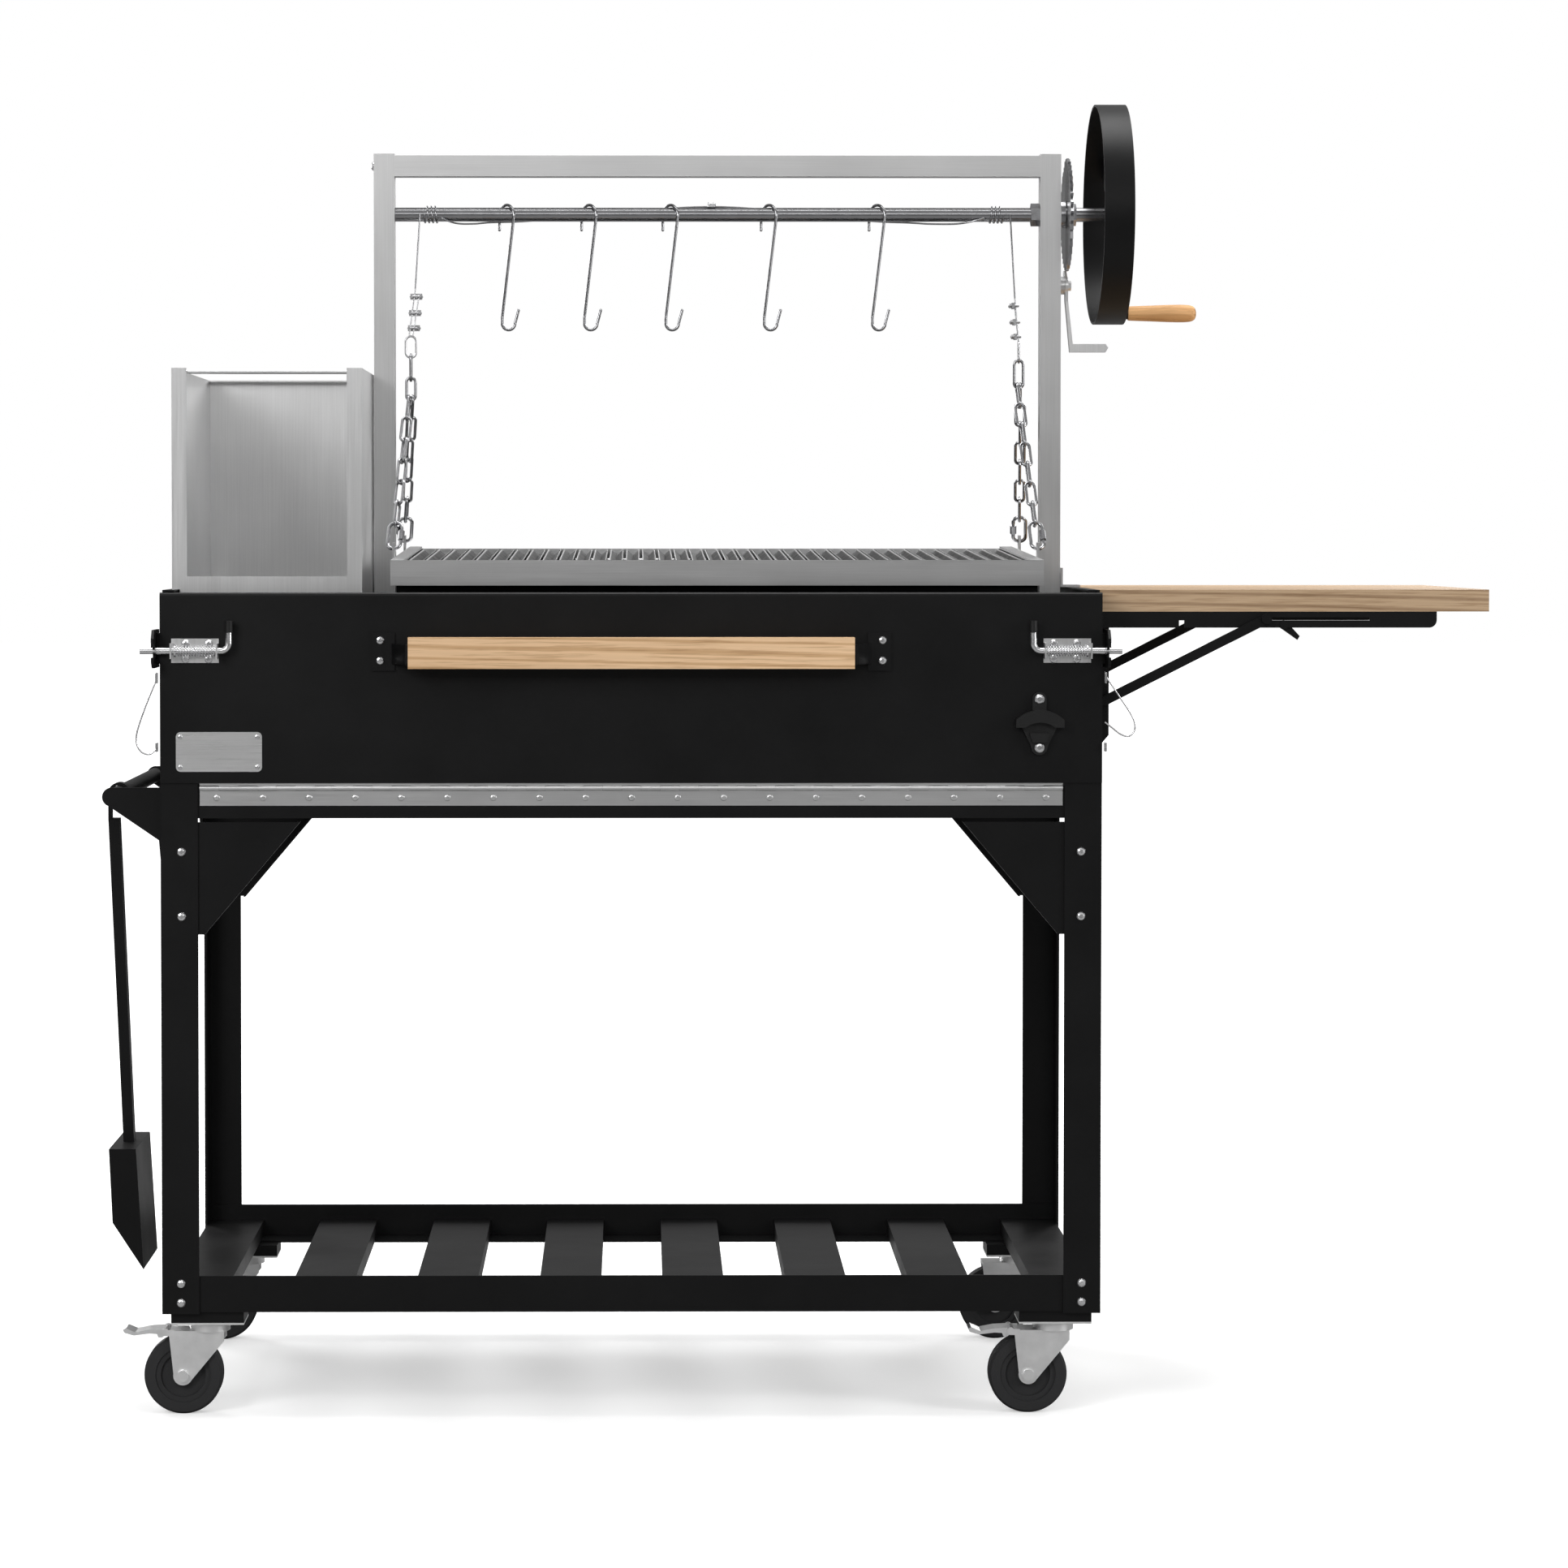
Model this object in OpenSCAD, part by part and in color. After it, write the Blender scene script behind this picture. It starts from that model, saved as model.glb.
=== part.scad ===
/* [Cart] */
// Overall width across the outer faces of the legs
cart_w = 1212; // [1100:1:1300]
// Overall depth across the outer faces of the legs
cart_d = 624; // [560:1:700]
// Flange width of the leg angles
leg_flange = 48; // [30:1:60]
// Thickness of the angles and brackets
steel_t = 3; // [2:0.5:4]
// Height of the leg's lower end
leg_bottom = 135; // [120:1:150]
// Height of the leg's upper end
leg_top = 1062; // [1040:1:1064]
// Number of shelf slats
slat_count = 8; // [4:1:8]
// Height of the shelf's top face
shelf_z = 162; // [155:1:180]

/* [Firebox] */
// Height of the firebox floor's underside
box_bottom = 815; // [800:1:830]
// Height of the firebox rim
box_top = 1070; // [1060:1:1090]
// Thickness of the sheet steel
sheet_t = 2; // [1.5:0.5:3]
// Number of hinge knuckles, frame and door together
knuckle_count = 45; // [5:2:45]
// Number of rivets along the hinge
rivet_count = 19; // [5:1:19]
// Length of the wooden door handle
door_grip_len = 570; // [400:1:570]

/* [Casters] */
// Diameter of the caster wheels
wheel_d = 101.6; // [75:0.1:102]
// Distance from the swivel axis to the wheel's axle
caster_trail = 33.5; // [20:0.5:40]

/* [Lift] */
// Height of the lift shaft's axis
shaft_z = 1573; // [1500:1:1600]
// Diameter of the lift shaft
shaft_d = 19; // [16:0.5:22]
// Height of the top of the lift posts
post_top = 1654; // [1640:1:1700]
// Number of teeth on the ratchet
ratchet_teeth = 38; // [24:1:48]
// Outer diameter of the handwheel
handwheel_d = 296; // [200:1:300]
// Places of the meat hooks along the shaft
hook_x = [-165.4, -54.3, 55.7, 188.8, 335.1]; // [-240:0.1:460]

/* [Cooking grate] */
// Width of the cooking grate
grate_w = 849; // [700:1:849]
// Depth of the cooking grate
grate_d = 510; // [400:1:520]
// Number of channel bars
bar_count = 37; // [20:1:40]

/* [Side table] */
// Length of the wooden top, outwards from the cart
table_len = 510; // [400:1:520]
// Width of the wooden top, front to back
table_w = 495; // [400:1:500]
// Thickness of the wooden top
table_t = 28.5; // [20:0.5:30]

/* [Hidden] */
$fn = 40;
e = 0.01;

half_w = cart_w / 2;
half_d = cart_d / 2;
inner_w = half_w - steel_t;
inner_d = half_d - steel_t;

// Shelf
rail_z = 137;
rail_h = 47;
rail_flange = 50;
slat_w = 80;
slat_pitch = 161.7;

// Rim of the firebox, turned inwards
rim_w = 15;

// Apron, gussets and bolts
apron_z = 776;
gusset_w = 176;
gusset_top = 771;
gusset_tip = 626;

// Hinge between the apron and the door
hinge_y = -half_d - 0.5;
hinge_z = box_bottom;
knuckle_r = 3;
pin_r = 1.5;
pin_bore = 1.55;
leaf_t = 1.5;
hinge_len = 1111;
knuckle = hinge_len / knuckle_count;
rivet_pitch = 59.3;

// Door
door_t = 2;
door_back = hinge_y;
door_face = door_back - door_t;
door_low = 821.5;
door_top = 1066.7;
grip_z = 990;
grip_h = 40;
grip_t = 22;
grip_front = -half_d - 52;
opener_x = 524.6;
opener_low = 867.1;
opener_high = 929.6;
plate_holes_x = [-580, -481];
plate_holes_z = [842.5, 881.3];

// Latches
rod_r = 4.25;
rod_bore = 4.3;
rod_y = -327;
rod_z = 992;
latch_in = 530;
latch_out = 591;
rod_tip = 630;
rod_leg = 516;
bend_r = 10;

// Casters
swivel_x = 548.5;
swivel_y = 268;
wheel_r = wheel_d / 2;
wheel_t = 32;
pad_w = 94;
pad_d = 70;
plate_z = 119.5;
pad_z = 122;
kingpin_r = 5;
axle_r = 6;
running = 0.05;
brake_x = -23;
brake_z = 107.5;
brake_pin = 2;

// Lift frame and shaft
post_w = 28;
post_left = -347.5;
post_right = 551.5;
shaft_r = shaft_d / 2;
shaft_bore = shaft_r + running;
gear_x = 587;
gear_r = 76;
wheel_x = 625;
wheel_band = 40;
handwheel_r = handwheel_d / 2;
crank_r = 133;
pawl_z = 1477.5;
wire_r = 1;

// Grate and its suspension
grate_left = -313;
grate_slope = 1.8;
grate_z = 1075;
grate_h = 33;
chain_r = 2;
chain_w = 6;
chain_gap = 2.3;
eye_y = 145;
left_eye = -298;
right_eye = 523;
eye_h = 43;
left_cable = -291.9;
right_cable = 517.7;

// Side table
table_hinge_x = 615;
table_hinge_z = 1026;
strut_z = 925;
slot_x = 825.7;
slot_z = 1031.5;
arm_end = 1048;
arm_y = 250;
table_z = 1041;

// Side handle and shovel
tube_x = -672;
tube_z = 802;
tube_r = 10;
shovel_y = -190;

// Centre of the whole object's plan
plan_left = tube_x - tube_r - 4.2;
plan_right = half_w + table_len;
mid_x = (plan_left + plan_right) / 2;
bolt_h = 3.6;
mid_y = (grip_front + half_d + bolt_h) / 2;

// The model is drawn about the cart's centre and shown about the whole object's centre.
module cart() translate([-mid_x, -mid_y, 0]) children();

module both_x() for (s = [-1, 1]) scale_x(s) children();
module both_y() for (s = [-1, 1]) scale_y(s) children();
module scale_x(s) mirror([s < 0 ? 1 : 0, 0, 0]) children();
module scale_y(s) mirror([0, s < 0 ? 1 : 0, 0]) children();

// A box from one corner to the opposite one
module span(a, b) translate(a) cube(b - a);

// A round rod between two points
module rod(a, b, r) {
    v = b - a;
    translate(a) rotate([0, acos(v.z / norm(v)), atan2(v.y, v.x)]) cylinder(h = norm(v), r = r);
}

// Cylinders along the X and Y axes
module along_x(x0, x1, r) translate([x0, 0, 0]) rotate([0, 90, 0]) cylinder(h = x1 - x0, r = r);
module along_y(y0, y1, r) translate([0, y1, 0]) rotate([90, 0, 0]) cylinder(h = y1 - y0, r = r);

// A plate drawn in X and Z, from y0 to y1
module plate_xz(y0, y1) translate([0, y1, 0]) rotate([90, 0, 0]) linear_extrude(y1 - y0) children();
// A plate drawn in Y and Z, from x0 to x1
module plate_yz(x0, x1) {
    translate([x0, 0, 0]) rotate([90, 0, 90]) linear_extrude(x1 - x0) children();
}

// A button head on a face that looks along -Y
module button_head(r, h) {
    rotate([90, 0, 0]) rotate_extrude()
        polygon([[0, 0], [r, 0], [r, h * 0.35], [r * 0.8, h * 0.8], [r * 0.45, h], [0, h]]);
}

/* Cart frame */
module legs() cart() color("black") both_x() both_y() {
    x0 = -half_w;
    y0 = -half_d;
    difference() {
        span([x0, y0, leg_bottom], [x0 + leg_flange, y0 + leg_flange, leg_top]);
        translate([x0 + steel_t, y0 + steel_t, leg_bottom - 1]) cube([leg_flange, leg_flange, cart_w]);
    }
}

module shelf_rails() cart() color("black") both_y() {
    span([-inner_w, -inner_d, rail_z], [inner_w, -inner_d + steel_t, rail_z + rail_h]);
    span([-inner_w, -inner_d, rail_z], [inner_w, -inner_d + rail_flange, rail_z + steel_t]);
    // Feet that carry the casters
    both_x() translate([-swivel_x, -swivel_y, 0])
        span([-pad_w / 2, -pad_d / 2, pad_z], [pad_w / 2, pad_d / 2, rail_z]);
}

module slat(x0, x1) {
    length = inner_d - steel_t - 0.5;
    difference() {
        span([x0, -length, rail_z + steel_t], [x1, length, shelf_z]);
        span([x0 + sheet_t, -length - 1, rail_z], [x1 - sheet_t, length + 1, shelf_z - sheet_t]);
    }
}

module shelf_slats() cart() color("black") for (i = [0:slat_count - 1]) {
    centre = (i - (slat_count - 1) / 2) * slat_pitch;
    slat(max(centre - slat_w / 2, -inner_w), min(centre + slat_w / 2, inner_w));
}

module apron_rails() cart() color("black") both_y() {
    span([-inner_w, -inner_d, apron_z], [inner_w, -inner_d + steel_t, box_bottom]);
    span([-inner_w, -inner_d, box_bottom - steel_t], [inner_w, -inner_d + rail_flange, box_bottom]);
}

// A triangle plate with a bent edge along its sloping side
module gusset_plates() cart() color("black") both_x() both_y() {
    x0 = -inner_w;
    low = 53;
    outline = [[x0, gusset_top], [x0 + gusset_w, gusset_top], [x0 + low, gusset_tip], [x0, gusset_tip]];
    plate_xz(-inner_d, -inner_d + steel_t) polygon(outline);
    plate_xz(-inner_d, -inner_d + 20) polygon([
        [x0 + gusset_w, gusset_top], [x0 + low, gusset_tip], [x0 + low - 3, gusset_tip],
        [x0 + gusset_w - 4, gusset_top]
    ]);
}

module frame_bolts() cart() color("silver") {
    both_x() both_y() {
        for (z = [732.8, 649.3]) translate([-579.3, -half_d, z]) button_head(5.75, bolt_h);
        for (z = [174.3, 149.5]) translate([-581.5, -half_d, z]) button_head(5.75, bolt_h);
    }
    translate([post_left, 0, 1638]) rotate([0, 0, -90]) button_head(6, 4);
}

/* Casters */
module caster_plates() cart() color("silver") both_x() both_y() translate([-swivel_x, -swivel_y, 0]) {
    span([-pad_w / 2, -pad_d / 2, plate_z], [pad_w / 2, pad_d / 2, pad_z]);
    translate([0, 0, 102]) cylinder(h = plate_z - 102 + e, r = kingpin_r);
    translate([0, 0, 102]) cylinder(h = 3, r = 8);
}

// The fork trails towards -X and carries the axle, and the brake where it has ears
module caster_fork(x, y, ears) cart() color("silver") translate([x, y, 0]) {
    difference() {
        union() {
            translate([0, 0, 108]) cylinder(h = 11, r = 26.5);
            span([-caster_trail - 18, -21, 105.5], [20, 21, 109]);
        }
        translate([0, 0, 100]) cylinder(h = 30, r = kingpin_r + running);
    }
    for (s = [-1, 1]) scale_y(s) difference() {
        plate_xz(18.5, 21) union() {
            translate([-caster_trail, wheel_r]) circle(r = 12.5);
            if (ears) translate([-caster_trail, 0]) {
                translate([brake_x, brake_z]) circle(r = 5);
                translate([brake_x, brake_z - 5]) square([12, 8]);
            }
            polygon([
                [-caster_trail - 12, wheel_r], [-caster_trail - 18, 105.5], [20, 105.5], [20, 96],
                [-caster_trail + 11, wheel_r - 6]
            ]);
        }
        translate([-caster_trail, 0, wheel_r]) along_y(10, 30, axle_r);
    }
    translate([-caster_trail, 0, wheel_r]) {
        along_y(-23, 23, axle_r);
        along_y(-26, -21, 7.5);
        along_y(21, 26, 7.5);
    }
    if (ears) translate([brake_x - caster_trail, 0, brake_z]) along_y(-21, 21, brake_pin);
}
module caster_fork_fl() caster_fork(-swivel_x, -swivel_y, true);
module caster_fork_fr() caster_fork(swivel_x, -swivel_y, true);
module caster_fork_rl() caster_fork(-swivel_x, swivel_y, false);
module caster_fork_rr() caster_fork(swivel_x, swivel_y, false);

module caster_wheel(x, y) cart() color("black") translate([x - caster_trail, y, wheel_r]) {
    half_t = wheel_t / 2;
    rotate([90, 0, 0]) rotate_extrude() polygon([
        [axle_r + running, -half_t - 2], [14, -half_t - 2], [14, -half_t + 5], [29, -half_t + 5],
        [29, -half_t + 2], [36, -half_t + 2], [36, -half_t], [wheel_r - 3, -half_t], [wheel_r, -half_t + 4],
        [wheel_r, half_t - 4], [wheel_r - 3, half_t], [36, half_t], [36, half_t - 2], [29, half_t - 2],
        [29, half_t - 5], [14, half_t - 5], [14, half_t + 2], [axle_r + running, half_t + 2]
    ]);
}
module caster_wheel_fl() caster_wheel(-swivel_x, -swivel_y);
module caster_wheel_fr() caster_wheel(swivel_x, -swivel_y);
module caster_wheel_rl() caster_wheel(-swivel_x, swivel_y);
module caster_wheel_rr() caster_wheel(swivel_x, swivel_y);

// A foot pedal hinged at the back of the fork's crown
module caster_brake(x, y) cart() color("silver") translate([x - caster_trail, y, 0]) difference() {
    plate_xz(-17, 17) union() {
        translate([brake_x, brake_z]) circle(r = 4.2);
        polygon([
            [brake_x, 103.4], [brake_x, 111.6], [-44, 110.4], [-62, 107], [-74, 112], [-78, 110],
            [-76, 106], [-64, 102.5], [-44, 105], [-34, 104.5], [-32, 100], [-27, 100]
        ]);
    }
    translate([brake_x, 0, brake_z]) along_y(-18, 18, brake_pin + running);
}
module caster_brake_fl() caster_brake(-swivel_x, -swivel_y);
module caster_brake_fr() caster_brake(swivel_x, -swivel_y);

/* Firebox */
module firebox_shell() cart() color("black") difference() {
    span([-inner_w, -inner_d, box_bottom], [inner_w, inner_d, box_top]);
    wall = inner_w - sheet_t;
    lip = inner_w - rim_w;
    span([-wall, -inner_d - 1, box_bottom + sheet_t], [wall, inner_d - sheet_t, box_top - sheet_t]);
    span([-lip, -inner_d - 1, box_bottom + sheet_t], [lip, inner_d - rim_w, box_top + 1]);
}

module charcoal_grate() cart() color("dimgray") {
    z0 = box_bottom + sheet_t;
    for (y = [-250, -10, 230]) span([-306, y, z0], [540, y + 6, z0 + 18]);
    for (x = [-300:40:540]) span([x - 4, -285, z0 + 18], [x + 4, 285, z0 + 26]);
}

module fire_basket_hood() cart() color("silver") {
    x0 = -596;
    x1 = -349.5;
    y1 = 255;
    z1 = 1357;
    basket_x = -inner_w + rim_w + 2;
    basket_z = box_bottom + sheet_t;
    // Hood above the rim, open to the front and the top
    difference() {
        span([x0, -y1, box_top], [x1, y1, z1]);
        span([x0 + sheet_t, -y1 + sheet_t, box_top - 1], [x1 - sheet_t, y1 - sheet_t, z1 + 1]);
        span([x0 + 19.5, -y1 - 1, box_top + 17], [x1 - 19.5, -y1 + 5, z1 + 1]);
    }
    span([x0, -y1, box_top], [basket_x + sheet_t, y1, box_top + sheet_t]);
    span([x0 + sheet_t, y1 - 22, z1 - sheet_t], [x1 - sheet_t, y1 - sheet_t, z1]);
    translate([0, -y1 + 8, z1 - 5]) along_x(x0 + sheet_t, x1 - sheet_t, 2.75);
    // Basket below the rim
    difference() {
        span([basket_x, -y1, basket_z], [x1, y1, box_top]);
        span([basket_x + sheet_t, -y1 + sheet_t, basket_z - 1], [x1 - sheet_t, y1 - sheet_t, box_top + 1]);
    }
}

/* Door */
module front_door() cart() color("black") {
    span([-half_w, door_face, door_low], [half_w, door_back, door_top - 4]);
    translate([-half_w, door_face + 4, door_top - 4]) intersection() {
        rotate([0, 90, 0]) difference() {
            cylinder(h = cart_w, r = 4);
            translate([0, 0, -1]) cylinder(h = cart_w + 2, r = 4 - door_t);
        }
        span([-1, -5, 0], [cart_w + 1, 0, 5]);
    }
    span([-half_w, door_face + 4, door_top - door_t], [half_w, -inner_d - 0.5, door_top]);
}

// Every second knuckle belongs to the frame leaf, the others to the door leaf
module knuckles(first, r) {
    for (i = [first:2:knuckle_count - 1]) translate([-hinge_len / 2 + i * knuckle + 0.12, 0, 0])
        along_x(0, knuckle - 0.24, r);
}

module frame_hinge_leaf() cart() color("silver") {
    y0 = -inner_d - leaf_t;
    span([-hinge_len / 2, y0, 792.3], [hinge_len / 2, -inner_d, hinge_z - 3.4]);
    translate([0, hinge_y, hinge_z]) {
        knuckles(0, knuckle_r);
        along_x(-hinge_len / 2, hinge_len / 2, pin_r);
    }
    for (i = [0:2:knuckle_count - 1]) translate([-hinge_len / 2 + i * knuckle, 0, 0])
        span([0.12, y0, hinge_z - 3.5], [knuckle - 0.12, y0 + leaf_t, hinge_z]);
    for (i = [0:rivet_count - 1])
        translate([(i - (rivet_count - 1) / 2) * rivet_pitch, y0, 802.7]) button_head(4.4, 2);
}

module door_hinge_leaf() cart() color("silver") difference() {
    union() {
        span([-hinge_len / 2, door_back, hinge_z + 3.4], [hinge_len / 2, door_back + leaf_t, 840]);
        translate([0, hinge_y, hinge_z]) knuckles(1, knuckle_r);
        for (i = [1:2:knuckle_count - 1]) translate([-hinge_len / 2 + i * knuckle, 0, 0])
            span([0.12, door_back, hinge_z], [knuckle - 0.12, door_back + leaf_t, hinge_z + 3.5]);
    }
    translate([0, hinge_y, hinge_z]) along_x(-half_w, half_w, pin_bore);
}

module door_handle_grip() cart() color("burlywood") {
    translate([-door_grip_len / 2, grip_front, grip_z - grip_h / 2]) cube([door_grip_len, grip_t, grip_h]);
}

// Base plates on the door, with arms that slope in to the ends of the grip
module door_handle_brackets() cart() color("black") both_x() {
    x1 = -door_grip_len / 2;
    plate_xz(door_face - 3, door_face) polygon([[-334, 966], [-304, 966], [-304, 1015], [-334, 1015]]);
    translate([0, 0, 975]) linear_extrude(26) polygon([
        [-308, door_face - 3], [-304, door_face - 3], [x1 - 1, grip_front + 14], [x1, grip_front + 12],
        [x1, grip_front + 2], [x1 - 3, grip_front + 2], [x1 - 4, grip_front + 12]
    ]);
}

module door_fasteners() cart() color("silver") {
    both_x() bracket_bolts();
    door_screws();
}
module bracket_bolts() {
    for (z = [1005.3, 979.2]) translate([-322.8, door_face - 3, z]) button_head(5.2, 3.4);
    for (x = [543, 572.5], z = [981.3, 1001]) translate([-x, door_face - 2, z]) button_head(5.3, 2.4);
}
module door_screws() {
    for (z = [opener_low, opener_high]) translate([opener_x, door_face - 6, z]) button_head(6.2, 2.6);
    for (x = plate_holes_x, z = plate_holes_z) translate([x, door_face - 1.2, z]) button_head(3.2, 1.8);
}

module nameplate() cart() color("silver") plate_xz(door_face - 1.2, door_face) translate([-585.5, 836.3]) {
    translate([6, 0]) square([98.5, 51.1]);
    translate([0, 6]) square([110.5, 39.1]);
    for (x = [6, 104.5], y = [6, 45.1]) translate([x, y]) circle(r = 6);
}

// A cast body with an arched hood over a mouth that catches the cap
module bottle_opener() cart() color("black") translate([opener_x, 0, 0]) {
    plate_xz(door_face - 6, door_face) union() {
        translate([0, opener_high]) circle(r = 9);
        translate([-9, 908]) square([18, 22]);
        polygon([[-20, 910], [20, 910], [24, 896], [12, 872], [9, 862], [-9, 862], [-12, 872], [-24, 896]]);
        translate([0, opener_low]) circle(r = 9.5);
    }
    plate_xz(door_face - 20, door_face - 6) difference() {
        intersection() {
            translate([0, 872]) circle(r = 44);
            translate([-31, 893]) square([62, 30]);
        }
        translate([0, 868]) circle(r = 32);
        translate([-40, 880]) square([80, 13.6]);
    }
    plate_xz(door_face - 12, door_face - 6) polygon([[-13, 886], [13, 886], [9, 874], [-9, 874]]);
}

/* Latches */
module latch_brackets() cart() color("silver") both_x() {
    span([-latch_out, door_face - 2, 976.4], [-latch_in, door_face, 1007.6]);
    difference() {
        for (x = [latch_out, latch_in + 2]) span([-x, rod_y - 10, 982], [2 - x, door_face - 2, 1002]);
        translate([0, rod_y, rod_z]) along_x(-latch_out - 1, -latch_in + 1, rod_bore);
    }
}

// A sliding rod with an upturned finger and a fixed washer for the spring
module latch_bolt() {
    translate([0, rod_y, rod_z]) {
        along_x(-rod_tip, -rod_leg - bend_r, rod_r);
        along_x(-586, -584, 8);
        translate([-rod_leg - bend_r, 0, bend_r]) rotate([90, 0, 0]) rotate([0, 0, -90])
            rotate_extrude(angle = 90) translate([bend_r, 0]) circle(r = rod_r);
        translate([-rod_leg, 0, bend_r]) cylinder(h = 24.5, r = rod_r);
        translate([-rod_leg, 0, 24]) cylinder(h = 14.5, r = 5.2);
    }
}
module latch_bolt_left() cart() color("silver") latch_bolt();
module latch_bolt_right() cart() color("silver") mirror([1, 0, 0]) latch_bolt();

module latch_spring() translate([0, rod_y, rod_z]) difference() {
    along_x(-583.6, -latch_in - 2.4, 7.6);
    along_x(-585, -latch_in, 6);
}
module latch_spring_left() cart() color("silver") latch_spring();
module latch_spring_right() cart() color("silver") mirror([1, 0, 0]) latch_spring();

// Side plates with a slot, open to the front, that takes the rod's tip
module latch_keepers() cart() color("black") both_x() {
    difference() {
        plate_yz(-614, -610.5) polygon([
            [-346, 978], [-336, 970], [-275, 970], [-275, 1019], [-336, 1019], [-346, 1008]
        ]);
        span([-620, -350, 983.6], [-600, rod_y + rod_r + 0.4, rod_z + rod_r + 0.5]);
    }
    span([-610.5, -306, 975], [-half_w, -276, 1014]);
}

module stay(points) for (i = [0:len(points) - 2])
    rod([points[i].x, -318, points[i].y], [points[i + 1].x, -318, points[i + 1].y], 1.1);
module door_stays() cart() color("silver") {
    stay([[-609, 957], [-636, 884], [-630, 866], [-618, 860], [-609, 868]]);
    stay([[609, 961], [647, 901], [645, 888], [635, 882], [609, 904]]);
    both_x() span([-611.5, -320, 950], [-608.5, -312, 964]);
    both_x() span([-611.5, -320, 862], [-608.5, -312, 874]);
}

/* Lift frame */
module post(x0, bore_from) difference() {
    span([x0, -post_w / 2, box_bottom + sheet_t], [x0 + post_w, post_w / 2, post_top]);
    span([x0 + 2.5, -post_w / 2 + 2.5, 800], [x0 + post_w - 2.5, post_w / 2 - 2.5, post_top - 2.5]);
    translate([0, 0, shaft_z]) along_x(bore_from, bore_from + 60, shaft_bore);
}
// The pawl's pivot bolt and its spacer stand on the right post
module pawl_pivot() translate([0, 0, pawl_z]) {
    along_x(post_right + post_w, 585.6, 12);
    along_x(585, 590.6, 4);
    translate([590.4, 0, 0]) rotate([0, 90, 0]) cylinder(h = 4, r = 7, $fn = 6);
}

// Welded posts and crossbar, with the foot bracket and the pawl's pivot bolt on the right post
module lift_frame() cart() color("silver") {
    post(post_left, post_left + 2.5);
    post(post_right, post_right - 10);
    span([post_left + post_w, -post_w / 2, 1623.6], [post_right, post_w / 2, 1651.6]);
    span([post_right + post_w, -22, box_top], [half_w, 22, box_top + 3]);
    span([post_right + post_w, -22, box_top + 3], [post_right + post_w + 3, 22, box_top + 26]);
    pawl_pivot();
}

module shaft_bearings() cart() color("silver") translate([0, 0, shaft_z]) difference() {
    union() {
        translate([post_right - 12, 0, 0]) rotate([0, 90, 0]) cylinder(h = 12, r = 15.5, $fn = 6);
        along_x(post_right + post_w, post_right + post_w + 6.2, 19.5);
    }
    along_x(500, 620, shaft_bore);
}

module lift_shaft() cart() color("silver") translate([0, 0, shaft_z]) {
    along_x(post_left + 3, 662, shaft_r);
    difference() {
        translate([594.7, 0, 0]) rotate([0, 90, 0]) cylinder(h = 6, r = 15, $fn = 6);
        along_x(590, 605, shaft_r - 1);
    }
}

// Saw teeth about the shaft
module ratchet_gear() cart() color("silver") translate([0, 0, shaft_z]) difference() {
    union() {
        plate_yz(gear_x, gear_x + 4) polygon([
            for (i = [0:ratchet_teeth - 1], k = [0, 1]) let (a = 360 / ratchet_teeth * (i + k * 0.15))
                (k == 0 ? gear_r : gear_r - 6.5) * [cos(a), sin(a)]
        ]);
        along_x(gear_x + 4, 594.7, 14);
    }
    along_x(gear_x - 1, 600, shaft_r);
}

// A banded wheel with three flat spokes and a bolt for the crank grip
module handwheel() cart() color("black") translate([0, 0, shaft_z]) {
    x1 = wheel_x + wheel_band;
    difference() {
        along_x(wheel_x, x1, handwheel_r);
        along_x(wheel_x - 1, x1 + 1, handwheel_r - 3);
    }
    difference() {
        union() {
            for (a = [0, 120, 240]) rotate([a, 0, 0]) span([650, -16, -handwheel_r + 1], [655, 16, 0]);
            along_x(642, 656, 22);
        }
        along_x(640, 660, shaft_r);
    }
    translate([0, 0, -crank_r]) {
        along_x(655, 760, 5);
        along_x(655, 671, 8);
        along_x(757.6, 762, 8);
    }
}

module crank_grip() cart() color("burlywood") translate([0, 0, shaft_z - crank_r]) rotate([0, 90, 0])
    rotate_extrude() polygon([
        [5.05, 671.4], [9.5, 671.4], [11.5, 676], [10.8, 700], [11.8, 725], [11.5, 752], [9.5, 757.2],
        [5.05, 757.2]
    ]);

// A bent lever, with its tip at the ratchet and a finger tab below
module pawl_lever() cart() color("silver") translate([0, 0, pawl_z]) {
    difference() {
        plate_yz(586, 590) union() {
            circle(r = 11);
            polygon([[-5, 8], [8, -8], [27, 17], [24.5, 21.4], [19, 20.6]]);
            polygon([[-8, 0], [8, 0], [7, -22], [-7, -22]]);
        }
        along_x(580, 600, 4.05);
    }
    plate_xz(-7, 7) polygon([
        [586, -20], [590, -20], [596.5, -79], [641, -79], [644.5, -84], [641, -90], [592.5, -90]
    ]);
}

/* Hoist */
module cable_wraps() cart() color("silver") translate([0, 0, shaft_z]) {
    for (x0 = [-280.4, 483.4], i = [0:3]) translate([x0 + i * 6.2, 0, 0]) rotate([0, 90, 0])
        rotate_extrude() translate([shaft_r + wire_r + 0.05, 0]) circle(r = wire_r);
    span([101, -5, shaft_r + 0.02], [115, 5, 17]);
}

module cable_drops() cart() color("silver") {
    y = -shaft_r - wire_r - 0.05;
    rod([-285.6, y, shaft_z], [left_cable, y, 1473], wire_r);
    rod([511, y, shaft_z], [right_cable, y, 1460], wire_r);
}

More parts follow.
